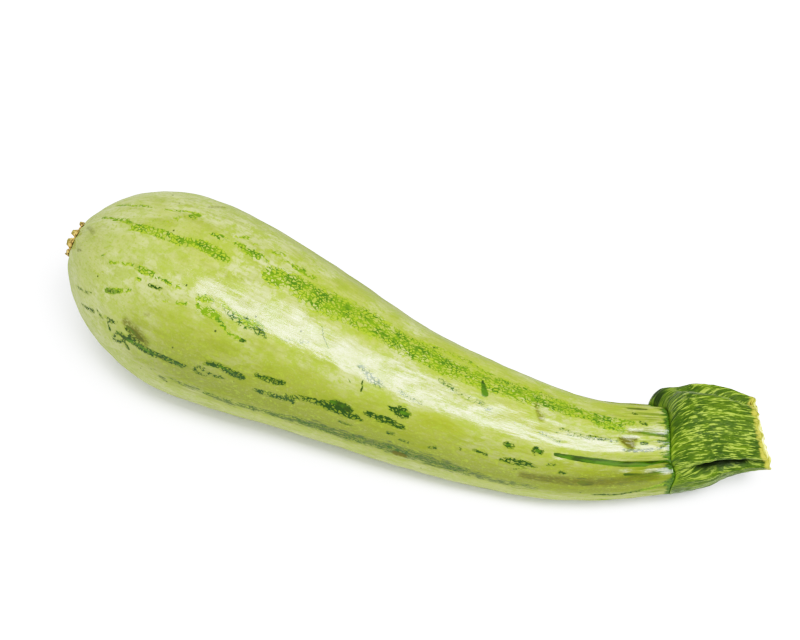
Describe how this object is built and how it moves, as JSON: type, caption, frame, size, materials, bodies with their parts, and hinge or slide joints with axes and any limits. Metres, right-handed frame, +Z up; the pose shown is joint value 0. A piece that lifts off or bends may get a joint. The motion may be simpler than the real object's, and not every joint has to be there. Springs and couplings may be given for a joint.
{
  "type": "zucchini",
  "caption": "Pale green zucchini with a fat blossom end, a slim bent neck and a ribbed cut stem, lying on its side.",
  "frame": {"origin": "on the surface that the zucchini lies on, under the middle of its box", "axes": "+X from the blossom end towards the stem, +Z up"},
  "size_m": [0.2394, 0.0658, 0.0651],
  "materials": {
    "fruit_skin": "waxy pale green skin with bright green broken stripes",
    "stem_rind": "matt ribbed green rind with a pale net, cream where it was cut",
    "scar_cork": "dry tan cork with dark crumbs"
  },
  "bodies": {
    "root": {"fruit": "fruit_skin", "stem": "stem_rind", "blossom_scar": "scar_cork"}
  },
  "joints": []
}
